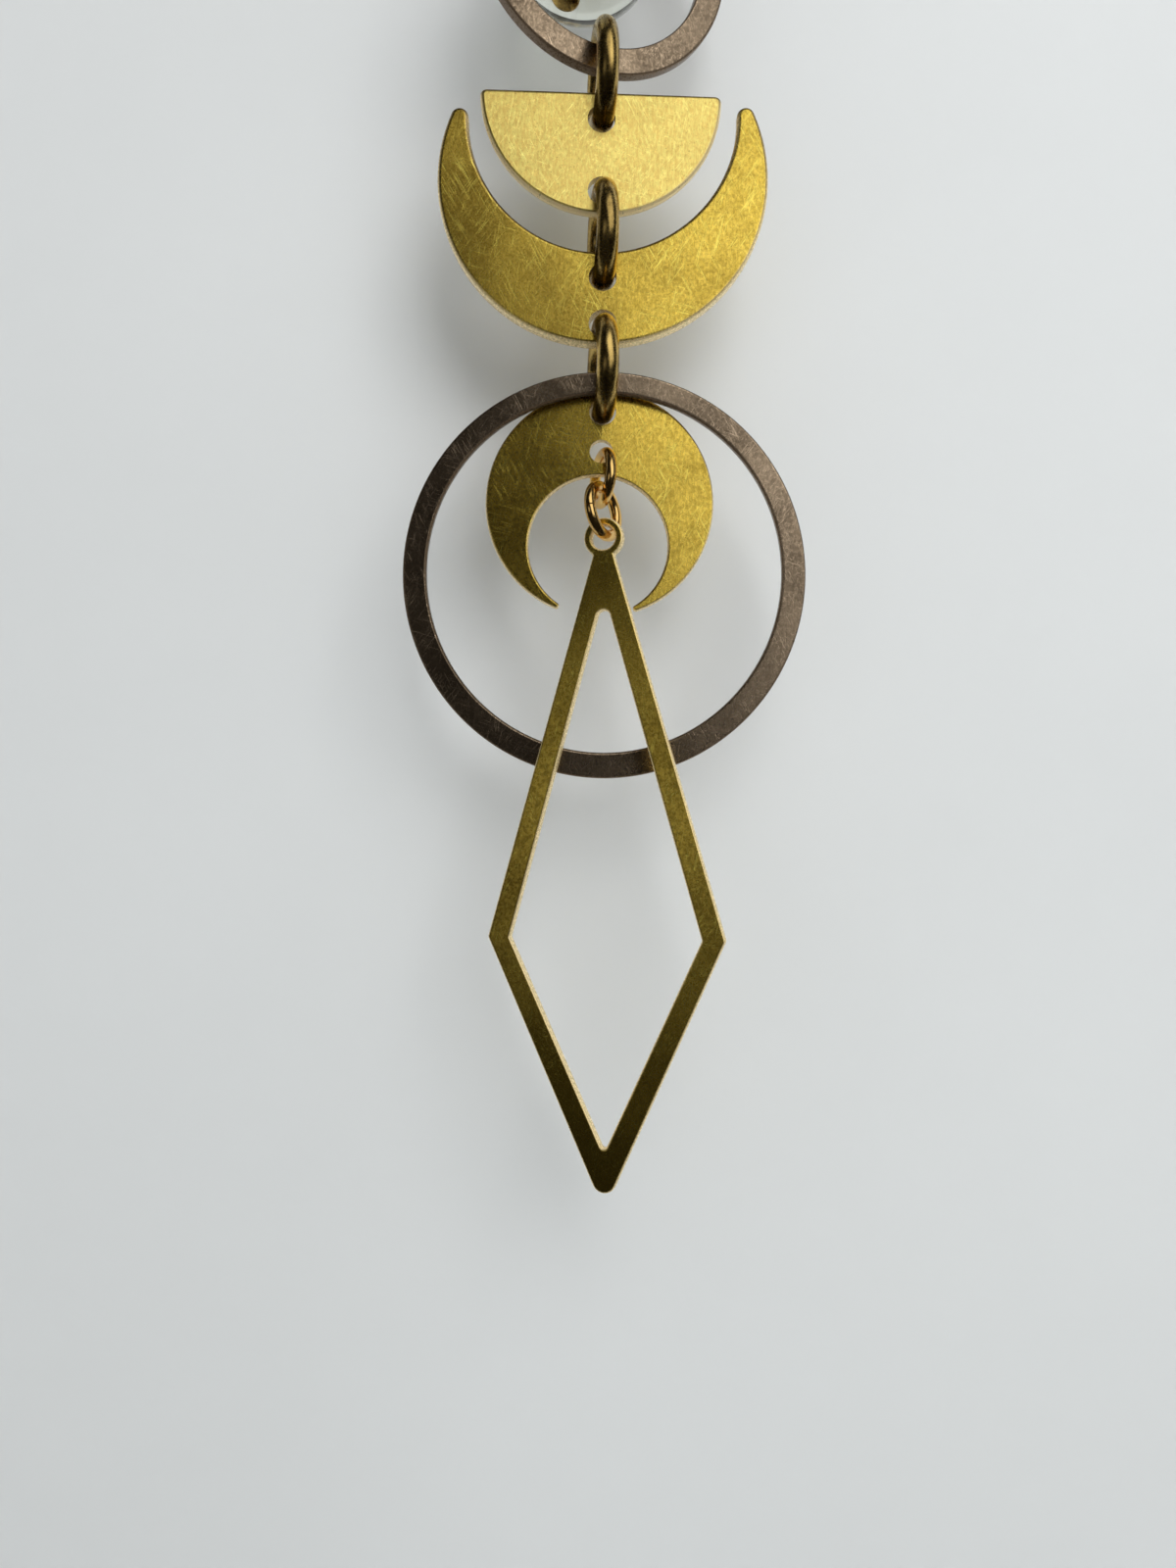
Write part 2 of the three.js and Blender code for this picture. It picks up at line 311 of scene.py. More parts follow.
class Finish:
    """A material under construction, with short ways to add and join its nodes."""

    def __init__(self, name):
        self.material = bpy.data.materials.new(name)
        self.material.use_nodes = True
        self.tree = self.material.node_tree
        self.tree.nodes.clear()
        self.output = self.node("ShaderNodeOutputMaterial")
        self.shader = self.node("ShaderNodeBsdfPrincipled")
        self.join(self.shader, "BSDF", self.output, "Surface")
        self.coordinates = self.node("ShaderNodeTexCoord")

    def node(self, kind, **settings):
        node = self.tree.nodes.new(kind)
        for key, value in settings.items():
            setattr(node, key, value)
        return node

    def join(self, source, output, target, entry):
        self.tree.links.new(source.outputs[output], target.inputs[entry])

    def feed(self, source, target, entry):
        """Joins a node's own result to a socket."""
        output = MIXED if source.bl_idname == "ShaderNodeMix" else 0
        self.join(source, output, target, entry)

    def place(self, scale, rotation=(0, 0, 0), location=(0, 0, 0)):
        """Object coordinates in millimetres, stretched and turned."""
        turn = self.node("ShaderNodeMapping")
        turn.inputs["Rotation"].default_value = rotation
        turn.inputs["Location"].default_value = location
        turn.inputs["Scale"].default_value = (1 / MM, 1 / MM, 1 / MM)
        stretch = self.node("ShaderNodeMapping")
        stretch.inputs["Scale"].default_value = scale
        self.join(self.coordinates, "Object", turn, "Vector")
        self.join(turn, "Vector", stretch, "Vector")
        return stretch

    def noise(self, place, scale, detail=4, roughness=0.6, distortion=0):
        noise = self.node("ShaderNodeTexNoise")
        noise.inputs["Scale"].default_value = scale
        noise.inputs["Detail"].default_value = detail
        noise.inputs["Roughness"].default_value = roughness
        noise.inputs["Distortion"].default_value = distortion
        self.join(place, "Vector", noise, "Vector")
        return noise

    def ramp(self, source, low, high, output=0, a=0.0, b=1.0):
        """Maps low..high onto a..b, held at the ends."""
        ramp = self.node("ShaderNodeMapRange", clamp=True)
        ramp.inputs["From Min"].default_value = low
        ramp.inputs["From Max"].default_value = high
        ramp.inputs["To Min"].default_value = a
        ramp.inputs["To Max"].default_value = b
        self.join(source, output, ramp, "Value")
        return ramp

    def math(self, operation, first, second):
        node = self.node("ShaderNodeMath", operation=operation, use_clamp=False)
        for entry, value in enumerate((first, second)):
            if isinstance(value, (int, float)):
                node.inputs[entry].default_value = value
            else:
                self.feed(value, node, entry)
        return node

    def blend(self, factor, first, second, mode="MIX"):
        """Mixes two colours, each a value or a node, by a node's first output or a number."""
        mix = self.node("ShaderNodeMix", data_type="RGBA", blend_type=mode)
        if isinstance(factor, (int, float)):
            mix.inputs[0].default_value = factor
        else:
            self.feed(factor, mix, 0)
        for entry, value in ((FIRST_COLOUR, first), (SECOND_COLOUR, second)):
            if isinstance(value, bpy.types.Node):
                self.feed(value, mix, entry)
            else:
                mix.inputs[entry].default_value = (*value, 1)
        return mix

    def bump(self, height, strength, distance):
        """Dents the surface by a height pattern; the distance is in millimetres."""
        bump = self.node("ShaderNodeBump")
        bump.inputs["Strength"].default_value = strength
        bump.inputs["Distance"].default_value = distance * MM
        self.feed(height, bump, "Height")
        self.join(bump, "Normal", self.shader, "Normal")

    def scratches(self, angle, length, width, offset, least):
        """Fine straight scratches along one direction of the sheet, as a 0..1 mask."""
        place = self.place(
            (1 / width, 1 / width, 1 / length), rotation=(0, angle, 0), location=(offset, 0, offset)
        )
        lines = self.noise(place, 1, detail=2, roughness=0.5)
        mask = self.ramp(lines, least, least + 0.05)
        patches = self.noise(self.place((1, 1, 1), location=(offset, offset, 0)), 0.35, detail=2)
        return self.math("MULTIPLY", mask, self.ramp(patches, 0.42, 0.62))


def sheet_finish(
    name, body, patina, edge, upper_edge, dullness, patina_and_shade_share, grain=1.0, turn=0.0
):
    """Aged sheet brass: tarnish clouds darkened to the left by painted shade, rubbed grain,
    scratches.

    The cut edges carry painted light: a rim colour, a painted highlight on brass and painted shade
    on bronze, and a colour for edges that look up, painted shade on all but the kite; they are
    partly dull;
    the turn says which way the sheet faces, so that its edges are told from its faces."""
    f = Finish(name)
    flat = f.place((1, 1, 1))
    clouds = f.noise(flat, 0.16, detail=3, roughness=0.55, distortion=0.4)
    mottle = f.noise(flat, 3.6, detail=8, roughness=0.7)
    rubbed = f.noise(f.place((7, 2, 1.7)), 1.0, detail=6, roughness=0.65)
    pits = f.noise(flat, 11.0, detail=3, roughness=0.6)

    tarnish = f.math(
        "ADD",
        f.math("MULTIPLY", f.ramp(clouds, 0.42, 0.6), 0.5),
        f.math("MULTIPLY", f.ramp(mottle, 0.42, 0.62), 0.6),
    )
    # Painted shade: the tarnish grows towards -X, so the left of each sheet is darker, like the
    # side that faces the dark part of the room; from here on the tarnish value holds this painted
    # shade as well.
    side = f.node("ShaderNodeSeparateXYZ")
    f.join(flat, "Vector", side, "Vector")
    left_shade = f.ramp(side, 2.0, -11.0, output="X", b=0.8)
    tarnish = f.math("MULTIPLY", f.math("ADD", tarnish, left_shade), patina_and_shade_share)
    dark = tuple(0.22 * b + 0.78 * p for b, p in zip(body, patina))
    light = tuple(min(1, 1.3 * b + 0.02) for b in body)
    colour = f.blend(f.ramp(rubbed, 0.42, 0.6), body, light)
    colour = f.blend(tarnish, colour, dark)
    colour = f.blend(f.ramp(pits, 0.60, 0.70, b=0.6), colour, patina)

    worn = None
    for angle, length, width, offset, least in SCRATCHES:
        mark = f.scratches(radians(angle), length, width, offset, least)
        worn = f.math("MAXIMUM", worn, mark) if worn else mark
    bright = tuple(min(1, 1.5 * b + 0.05) for b in body)
    colour = f.blend(f.math("MULTIPLY", worn, 0.75 * grain), colour, bright)

    normal = f.node("ShaderNodeNewGeometry")
    split = f.node("ShaderNodeSeparateXYZ")
    f.join(normal, "Normal", split, "Vector")
    front = f.node("ShaderNodeVectorMath", operation="DOT_PRODUCT")
    f.join(normal, "Normal", front, 0)
    front.inputs[1].default_value = (sin(turn), -cos(turn), 0)
    facing = f.node("ShaderNodeMath", operation="ABSOLUTE")
    f.join(front, "Value", facing, 0)
    # Painted light on the rounded edges: the rim colour is a painted highlight on brass and painted
    # shade on bronze, and edges that look up take the second colour, painted shade on all but the
    # kite.
    rim = f.ramp(facing, 0.99, 0.82, output="Value")
    upward = f.ramp(split, -0.1, 0.4, output="Z")
    colour = f.blend(f.math("MULTIPLY", rim, 0.9), colour, f.blend(upward, edge, upper_edge))
    f.feed(colour, f.shader, "Base Color")

    bare = rim
    if upper_edge != edge:
        bare = f.math("MULTIPLY", rim, f.ramp(split, 0.4, -0.1, output="Z"))
    metal = f.ramp(bare, 0.0, 1.0, a=1.0, b=0.5)
    f.feed(metal, f.shader, "Metallic")
    rough = f.math(
        "ADD",
        f.ramp(mottle, 0.3, 0.7, a=dullness - 0.05, b=dullness + 0.09),
        f.math("MULTIPLY", worn, -0.06),
    )
    f.feed(rough, f.shader, "Roughness")

    height = f.math(
        "ADD",
        f.math("MULTIPLY", pits, 0.3),
        f.math("ADD", f.math("MULTIPLY", rubbed, 0.35), f.math("MULTIPLY", worn, -0.35)),
    )
    f.bump(height, strength=0.16 * grain, distance=0.05)
    return f.material


def wire_finish(name, body, patina, dullness, patina_and_shade_share):
    """Drawn wire: tarnish in clouds, with painted reflection as dark lines round the rings that
    stand edge-on.
    """
    f = Finish(name)
    flat = f.place((1, 1, 1))
    clouds = f.noise(flat, 0.7, detail=4, roughness=0.6)
    fine = f.noise(flat, 5.0, detail=5, roughness=0.65)
    # Painted reflection: dark stripes along the wire in place of the bands a round wire reflects;
    # the drawn pattern is this painted reflection, not marks of the drawing die.
    drawn = f.noise(f.place((2.6, 0.2, 0.2)), 1.0, detail=2, roughness=0.5)
    tarnish_and_reflection_bands = f.math("ADD", f.ramp(drawn, 0.38, 0.60, b=0.6), f.ramp(clouds, 0.42, 0.66, b=0.5))
    colour = f.blend(f.math("MULTIPLY", tarnish_and_reflection_bands, patina_and_shade_share), body, patina)
    light = tuple(min(1, 1.35 * b + 0.03) for b in body)
    colour = f.blend(f.ramp(fine, 0.55, 0.75, b=0.5), colour, light)
    f.feed(colour, f.shader, "Base Color")
    f.shader.inputs["Metallic"].default_value = 1.0
    rough = f.ramp(fine, 0.3, 0.7, a=dullness - 0.04, b=dullness + 0.08)
    f.feed(rough, f.shader, "Roughness")
    height = f.math("ADD", f.math("MULTIPLY", drawn, 0.7), f.math("MULTIPLY", fine, 0.3))
    f.bump(height, strength=0.12, distance=0.04)
    return f.material


def glass_finish(name):
    """Clear glass, solid all through, with a trace of green and a faintly wavy surface."""
    f = Finish(name)
    f.shader.inputs["Base Color"].default_value = (0.80, 0.82, 0.74, 1)
    f.shader.inputs["Transmission Weight"].default_value = 1.0
    f.shader.inputs["IOR"].default_value = 1.5
    f.shader.inputs["Metallic"].default_value = 0.0
    waves = f.noise(f.place((1, 1, 1)), 0.25, detail=2)
    rough = f.ramp(waves, 0.3, 0.7, a=0.0, b=0.02)
    f.feed(rough, f.shader, "Roughness")
    f.bump(waves, strength=0.05, distance=0.05)
    return f.material


def finish_for(slot):
    """The material of a slot, made the first time it is asked for."""
    name = slot + "_finish"
    made = bpy.data.materials.get(name)
    if made:
        return made
    c = bpy.context.scene.mobile_colours
    patina = tuple(c.patina)
    # Painted light for the rounded edges: the cream colour is a painted highlight, the brown one
    # painted shade on edges that look up.
    cream, brown = (0.97, 0.78, 0.44), (0.11, 0.065, 0.02)
    olive = dict(body=tuple(c.olive_brass), patina=patina, edge=cream, dullness=0.25)
    bronze = dict(
        body=tuple(c.bronze),
        patina=(0.05, 0.035, 0.02),
        # Painted shade on the bronze rings' rounded edges, deeper where they look up.
        edge=(0.15, 0.10, 0.06),
        upper_edge=(0.10, 0.07, 0.04),
        dullness=0.27,
        patina_and_shade_share=0.8,
    )
    sheets = {
        "bright_brass": dict(
            body=tuple(c.bright_brass),
            patina=patina,
            edge=cream,
            upper_edge=brown,
            dullness=0.30,
            patina_and_shade_share=0.20,
            grain=0.5,
        ),
        "olive_brass": dict(olive, upper_edge=brown, patina_and_shade_share=0.55),
        "kite_brass": dict(olive, upper_edge=cream, patina_and_shade_share=0.62, turn=KITE_TURN),
        "antique_bronze": bronze,
        "turned_bronze": dict(bronze, turn=TOP_RING_TURN),
    }
    wires = {
        "antique_brass_wire": dict(
            body=tuple(c.wire), patina=(0.08, 0.045, 0.012), dullness=0.25, patina_and_shade_share=0.85
        ),
        "gold_wire": dict(
            body=tuple(c.gold), patina=(0.45, 0.25, 0.06), dullness=0.16, patina_and_shade_share=0.3
        ),
    }
    if slot in sheets:
        return sheet_finish(name, **sheets[slot])
    if slot in wires:
        return wire_finish(name, **wires[slot])
    if slot == "clear_glass":
        return glass_finish(name)
    raise ValueError("there is no finish named " + slot)


# ---------------------------------------------------------------- wire rings


def seamed_ring(name, radius, wire, seam, gap=0.05):
    """A ring bent from round wire about the X axis, with its cut ends facing at the seam angle.

    The seam angle is measured from the ring's top, towards the viewer. The gap between the ends is
    in millimetres, and the other lengths are in metres, as the settings are."""
    deselect_all()
    bpy.ops.mesh.primitive_torus_add(
        major_radius=radius - wire / 2,
        minor_radius=wire / 2,
        major_segments=144,
        minor_segments=36,
        rotation=(0, pi / 2, 0),
    )
    ring = named(name)
    bpy.ops.object.transform_apply(location=False, rotation=True, scale=False)
    across = Vector((0, -sin(seam), cos(seam)))
    along = Vector((0, -cos(seam), -sin(seam)))
    middle = across * (radius - wire / 2)
    deselect_all()
    bpy.ops.mesh.primitive_cube_add(size=1, location=middle)
    saw = named("saw")
    saw.dimensions = (wire * 1.6, gap * MM, wire * 1.6)
    saw.rotation_euler = (atan2(-along.z, -along.y), 0, 0)
    take(saw)
    bpy.ops.object.transform_apply(location=True, rotation=True, scale=True)
    cut_away(ring, saw)
    apply_modifier(
        ring,
        "BEVEL",
        width=wire * 0.06,
        segments=3,
        limit_method="ANGLE",
        angle_limit=radians(50),
        use_clamp_overlap=False,
    )
    take(ring)
    bpy.ops.object.shade_smooth_by_angle(angle=radians(45))
    return ring


class MOBILE_OT_hanging_ring(bpy.types.Operator):
    """Bend the ring that the mobile hangs from"""

    bl_idname = "mobile.hanging_ring"
    bl_label = "Hanging ring"

    def execute(self, context):
        sizes = context.scene.mobile_sizes
        ring = seamed_ring("wire_hanging_ring", sizes.hanger_radius, sizes.hanger_wire, radians(70))
        turn = Matrix.Translation(node_middle("hanging_ring")) @ Matrix.Rotation(pi / 2, 4, "Z")
        put_in_place(ring, turn)
        hand_over(ring, "hanging_ring", finish_for("antique_brass_wire"))
        return {"FINISHED"}


# Each jump ring's CAD node and seam angle, and the turn that all of them hang at, in degrees.
JUMP_RINGS = (
    ("jump_ring_top", 235),
    ("jump_ring_upper", 250),
    ("jump_ring_middle", 262),
    ("jump_ring_lower", 285),
)
JUMP_TURN = 6.5


class MOBILE_OT_jump_rings(bpy.types.Operator):
    """Bend the four jump rings"""

    bl_idname = "mobile.jump_rings"
    bl_label = "Jump rings"

    def execute(self, context):
        sizes = context.scene.mobile_sizes
        for node, seam in JUMP_RINGS:
            ring = seamed_ring("wire_" + node, sizes.jump_radius, sizes.jump_wire, radians(seam))
            place = Matrix.Translation(node_middle(node))
            put_in_place(ring, place @ Matrix.Rotation(radians(JUMP_TURN), 4, "Z"))
            hand_over(ring, node, finish_for("antique_brass_wire"))
        return {"FINISHED"}


# Each small link's CAD node, centre in millimetres, and its turn, lean and seam angle in degrees.
SMALL_LINKS = (
    ("small_link_upper", (0.01, 0.29, -61.44), 18, 4, 215),
    ("small_link_lower", (0.04, -0.34, -64.06), -31.5, -9, 84),
)


class MOBILE_OT_small_links(bpy.types.Operator):
    """Bend the two small links that carry the kite"""

    bl_idname = "mobile.small_links"
    bl_label = "Small links"

    def execute(self, context):
        sizes = context.scene.mobile_sizes
        for node, centre, turn, lean, seam in SMALL_LINKS:
            link = seamed_ring(
                "wire_" + node, sizes.link_radius, sizes.link_wire, radians(seam), gap=0.04
            )
            place = Matrix.Translation(Vector(centre) * MM)
            lean_turn = Matrix.Rotation(radians(lean), 4, "Y") @ Matrix.Rotation(
                radians(turn), 4, "Z"
            )
            put_in_place(link, place @ lean_turn)
            hand_over(link, node, finish_for("gold_wire"))
        return {"FINISHED"}


# ---------------------------------------------------------------- flat pieces


def flat_ring(name, outer, inner, thickness, edge, rise=0):
    """A flat ring; its hole sits higher than its rim by the rise."""
    obj = start_outline(name, outer, 0)
    arc_to(0, 0, 2 * pi, outer)
    ring_line(0, rise, inner, 192)
    fill_outline(obj, thickness)
    round_edges(obj, edge)
    return obj


class MOBILE_OT_top_ring(bpy.types.Operator):
    """Cut the flat ring round the glass ball"""

    bl_idname = "mobile.top_ring"
    bl_label = "Top ring"

    def execute(self, context):
        edge = context.scene.mobile_sizes.edge_round * CRISP
        ring = flat_ring("sheet_top_ring", outer=10, inner=8, thickness=1.0, edge=edge)
        place = Matrix.Translation(node_middle("top_ring"))
        put_in_place(ring, place @ Matrix.Rotation(TOP_RING_TURN, 4, "Z"))
        hand_over(ring, "top_ring", finish_for("turned_bronze"))
        return {"FINISHED"}


class MOBILE_OT_large_ring(bpy.types.Operator):
    """Cut the large flat ring, slimmer at the top, with its foot pushed back"""

    bl_idname = "mobile.large_ring"
    bl_label = "Large ring"

    def execute(self, context):
        edge = context.scene.mobile_sizes.edge_round * CRISP
        ring = flat_ring(
            "sheet_large_ring", outer=15.12, inner=13.36, thickness=0.8, edge=edge, rise=0.18
        )
        place = Matrix.Translation(node_middle("large_ring"))
        lean = radians(3.3)
        put_in_place(ring, place @ Matrix.Rotation(lean, 4, "X"))
        hand_over(ring, "large_ring", finish_for("antique_bronze"))
        return {"FINISHED"}


class MOBILE_OT_half_disc(bpy.types.Operator):
    """Cut the half disc, flat edge up"""

    bl_idname = "mobile.half_disc"
    bl_label = "Half disc"

    def execute(self, context):
        radius, corner = 9.07, 0.5
        rise = 0.13  # of the flat edge over the arc's centre
        upper_hole, lower_hole = -1.9, -7.28
        sideways, turn = -0.1, radians(3.2)
        z = rise - corner
        x = sqrt((radius - corner) ** 2 - z**2)
        tangent = atan2(z, x)
        disc = start_outline("sheet_half_disc", x, rise)
        arc_to(x, z, -(pi / 2 - tangent), corner)
        arc_to(0, 0, -(pi + 2 * tangent), radius)
        arc_to(-x, z, -(pi / 2 - tangent), corner)
        line_by(2 * x, 0)
        fill_outline(disc, 0.8)
        round_edges(disc, context.scene.mobile_sizes.edge_round)
        drill(disc, ((upper_hole, RING_HOLE), (lower_hole, RING_HOLE)))
        place = Matrix.Translation((sideways * MM, 0, node_top("half_disc") - rise * MM))
        put_in_place(disc, place @ Matrix.Rotation(turn, 4, "Z"))
        hand_over(disc, "half_disc", finish_for("bright_brass"))
        return {"FINISHED"}


def crescent(name, outer, inner, offset, tip, thickness, holes, edge):
    """A crescent with its horns up, drawn tip to tip about the outer circle's centre.

    The inner circle's centre is higher by the offset, and each hole is a drop and a radius."""
    tip_z = ((outer - tip) ** 2 - (inner + tip) ** 2 + offset**2) / (2 * offset)
    tip_x = sqrt((outer - tip) ** 2 - tip_z**2)
    on_outer = atan2(tip_z, tip_x)
    to_inner = atan2(offset - tip_z, tip_x)
    obj = start_outline(name, outer * cos(on_outer), outer * sin(on_outer))
    arc_to(0, 0, -(pi + 2 * on_outer), outer)
    arc_to(-tip_x, tip_z, -(pi - on_outer - to_inner), tip)
    arc_to(0, offset, pi - 2 * to_inner, inner)
    arc_to(tip_x, tip_z, -(pi - to_inner - on_outer), tip)
    fill_outline(obj, thickness)
    round_edges(obj, edge)
    drill(obj, [(-drop, radius) for drop, radius in holes])
    return obj


class MOBILE_OT_large_crescent(bpy.types.Operator):
    """Cut the large crescent, horns up"""

    bl_idname = "mobile.large_crescent"
    bl_label = "Large crescent"

    def execute(self, context):
        outer = 12.37
        shape = crescent(
            "sheet_large_crescent",
            outer=outer,
            inner=10.05,
            offset=4.62,
            tip=0.66,
            thickness=1.2,
            holes=((7.34, RING_HOLE), (10.82, RING_HOLE)),
            edge=context.scene.mobile_sizes.edge_round,
        )
        place = Matrix.Translation((0, 0, node_bottom("large_crescent") + outer * MM))
        put_in_place(shape, place)
        hand_over(shape, "large_crescent", finish_for("olive_brass"))
        return {"FINISHED"}


class MOBILE_OT_small_crescent(bpy.types.Operator):
    """Cut the small crescent, horns down, with its slight fold down the middle"""

    bl_idname = "mobile.small_crescent"
    bl_label = "Small crescent"

    def execute(self, context):
        outer, hanging_drop = 8.6, 6.85
        fold, lean = radians(2), radians(2)
        depth = 0.3
        shape = crescent(
            "sheet_small_crescent",
            outer=outer,
            inner=5.26,
            offset=3.24,
            tip=0.22,
            thickness=0.7,
            holes=((hanging_drop, 1.02), (3.83, 0.875)),
            edge=min(context.scene.mobile_sizes.edge_round, SLIM_EDGE * MM),
        )
        fold_down_middle(shape, fold)
        hole_z = node_top("small_crescent") - (outer - hanging_drop * cos(lean)) * MM
        place = Matrix.Translation((0, depth * MM, hole_z))
        turn = Matrix.Rotation(pi + lean, 4, "Y")
        centred = Matrix.Translation((0, 0, hanging_drop * MM))
        put_in_place(shape, place @ turn @ centred)
        hand_over(shape, "small_crescent", finish_for("olive_brass"))
        return {"FINISHED"}


def fold_down_middle(obj, angle):
    """Bends both sides of an upright sheet from its vertical centre line, towards +Y."""
    edit(obj)
    bpy.ops.mesh.quads_convert_to_tris()
    bpy.ops.mesh.bisect(plane_co=(0, 0, 0), plane_no=(1, 0, 0))
    leave_edit()
    for vertex in obj.data.vertices:
        vertex.co.y += abs(vertex.co.x) * tan(angle)
    obj.data.update()


def kite_frame(name, edge):
    """A long kite frame under a round eye, drawn about the eye's centre."""
    eye, shoulder, half_width, apex = 1.5, 29.7, 8.95, 49.3
    eye_hole, tip_round, corner_round = 0.9, 0.91, 0.45
    slope = 0.287  # half width gained for each millimetre down
    side = half_width - slope * shoulder
    a, b = 1 + slope**2, side * slope
    neck_z = (b - sqrt(b * b - a * (side**2 - eye**2))) / a
    neck = Vector((side - slope * neck_z, neck_z))
    left, right = Vector((-half_width, -shoulder)), Vector((half_width, -shoulder))
    foot = Vector((0, -apex))
    start = atan2(neck.y, neck.x)
    obj = start_outline(name, neck.x, neck.y)
    arc_to(0, 0, pi - 2 * start, eye)
    here = Vector((-neck.x, neck.y))
    for before, corner, after, radius in (
        (here, left, foot, corner_round),
        (left, foot, right, tip_round),
        (foot, right, neck, corner_round),
    ):
        here = round_corner(here, before, corner, after, radius)
    line_by(*(neck - here))
    ring_line(0, 0, eye_hole)
    leave_edit()

    opening_top, opening_bottom, opening_half_width = -4.1, -45.15, 7.22
    top, bottom = Vector((0, opening_top)), Vector((0, opening_bottom))
    inner_left = Vector((-opening_half_width, -shoulder))
    inner_right = Vector((opening_half_width, -shoulder))
    corners = (
        (top, inner_left, bottom, 0.2),
        (inner_left, bottom, inner_right, 0.25),
        (bottom, inner_right, top, 0.2),
        (inner_right, top, inner_left, 0.5),
    )
    here = top.lerp(inner_left, 0.5)
    first = here.copy()
    opening = start_outline("opening", here.x, here.y)
    for before, corner, after, radius in corners:
        here = round_corner(here, before, corner, after, radius)
    line_by(*(first - here))
    leave_edit()
    deselect_all()
    opening.select_set(True)
    obj.select_set(True)
    bpy.context.view_layer.objects.active = obj
    bpy.ops.object.join()
    edit(obj)
    fill_outline(obj, 0.8)
    round_edges(obj, edge)
    return obj


def round_corner(here, before, corner, after, radius):
    """Draws a line towards a corner and the arc round it; returns where the arc ends."""
    back = (before - corner).normalized()
    on = (after - corner).normalized()
    half = acos(max(-1, min(1, back.dot(on)))) / 2
    first = corner + back * (radius / tan(half))
    last = corner + on * (radius / tan(half))
    centre = corner + (back + on).normalized() * (radius / sin(half))
    line_by(*(first - here))
    a, b = first - centre, last - centre
    turn = atan2(a.x * b.y - a.y * b.x, a.dot(b))
    arc_to(centre.x, centre.y, turn, radius)
    return last


class MOBILE_OT_kite_drop(bpy.types.Operator):
    """Cut the kite-shaped drop"""

    bl_idname = "mobile.kite_drop"
    bl_label = "Kite drop"

    def execute(self, context):
        kite = kite_frame("sheet_kite_drop", context.scene.mobile_sizes.edge_round * CRISP)
        eye_centre = Vector((0.12, -0.55, -66.15))
        place = Matrix.Translation(eye_centre * MM)
        lean = Matrix.Rotation(radians(-2.8), 4, "X") @ Matrix.Rotation(KITE_TURN, 4, "Z")
        put_in_place(kite, place @ lean)
        hand_over(kite, "kite_drop", finish_for("kite_brass"))
        return {"FINISHED"}


# ---------------------------------------------------------------- ball and pin

PIN_AXIS = Vector((0.24, 0.268, 0.933)).normalized()

# Sizes of the pin and its hole in millimetres; the loop's centre is given from the ball's height.
BORE_RADIUS = 0.55
STEM_RADIUS, STEM_LENGTH, STEM_MIDDLE = 0.4, 11.9, -0.15
HEAD_RADIUS, HEAD_HEIGHT, HEAD_MIDDLE, HEAD_DOME = 1.1, 0.55, -5.955, 0.42
LOOP_RADIUS, LOOP_CENTRE = 1.66, Vector((-0.2, 1.62, 7.37))


def along_pin():
    return Vector((0, 0, 1)).rotation_difference(PIN_AXIS).to_matrix().to_4x4()


class MOBILE_OT_glass_ball(bpy.types.Operator):
    """Turn the glass ball and drill it for its pin"""

    bl_idname = "mobile.glass_ball"
    bl_label = "Glass ball"

    def execute(self, context):
        radius = context.scene.mobile_sizes.ball_radius
        deselect_all()
        bpy.ops.mesh.primitive_uv_sphere_add(segments=96, ring_count=64, radius=radius)
        ball = named("turned_glass_ball")
        deselect_all()
        bpy.ops.mesh.primitive_cylinder_add(vertices=48, radius=BORE_RADIUS * MM, depth=radius * 3)
        cut_away(ball, named("drill"))
        apply_modifier(
            ball,
            "BEVEL",
            width=0.06 * MM,
            segments=3,
            limit_method="ANGLE",
            angle_limit=radians(50),
            use_clamp_overlap=False,
        )
        take(ball)
        bpy.ops.object.shade_smooth_by_angle(angle=radians(40))
        put_in_place(ball, Matrix.Translation(node_middle("glass_ball")) @ along_pin())
        hand_over(ball, "glass_ball", finish_for("clear_glass"))
        return {"FINISHED"}


class MOBILE_OT_ball_pin(bpy.types.Operator):
    """Form the head pin: a domed head, a straight stem and a turned loop"""

    bl_idname = "mobile.ball_pin"
    bl_label = "Ball pin"

    def execute(self, context):
        centre = node_middle("glass_ball")
        deselect_all()
        bpy.ops.mesh.primitive_cylinder_add(
            vertices=32,
            radius=STEM_RADIUS * MM,
            depth=STEM_LENGTH * MM,
            location=(0, 0, STEM_MIDDLE * MM),
        )
        pin = named("formed_ball_pin")
        bpy.ops.object.transform_apply(location=True, rotation=True, scale=True)
        deselect_all()
        bpy.ops.mesh.primitive_cylinder_add(
            vertices=48,
            radius=HEAD_RADIUS * MM,
            depth=HEAD_HEIGHT * MM,
            location=(0, 0, HEAD_MIDDLE * MM),
        )
        head = named("head")
        bpy.ops.object.transform_apply(location=True, rotation=True, scale=True)
        edit(head, "DESELECT")
        leave_edit()
        for face in head.data.polygons:
            face.select = face.normal.z < -0.9
        bpy.ops.object.mode_set(mode="EDIT")
        bpy.ops.mesh.select_mode(type="FACE")
        bpy.ops.mesh.bevel(offset=HEAD_DOME * MM, segments=6, affect="EDGES", clamp_overlap=True)
        leave_edit()
        cut_away(pin, head, "UNION")
        put_in_place(pin, Matrix.Translation(centre) @ along_pin())
        deselect_all()
        bpy.ops.mesh.primitive_torus_add(
            major_radius=LOOP_RADIUS * MM,
            minor_radius=STEM_RADIUS * MM,
            major_segments=72,
            minor_segments=24,
            location=LOOP_CENTRE * MM + Vector((0, 0, centre.z)),
            rotation=(pi / 2, 0, 0),
        )
        loop = named("loop")
        bpy.ops.object.transform_apply(location=True, rotation=True, scale=True)
        cut_away(pin, loop, "UNION")
        take(pin)
        bpy.ops.object.shade_smooth_by_angle(angle=radians(40))
        hand_over(pin, "ball_pin", finish_for("antique_brass_wire"))
        return {"FINISHED"}


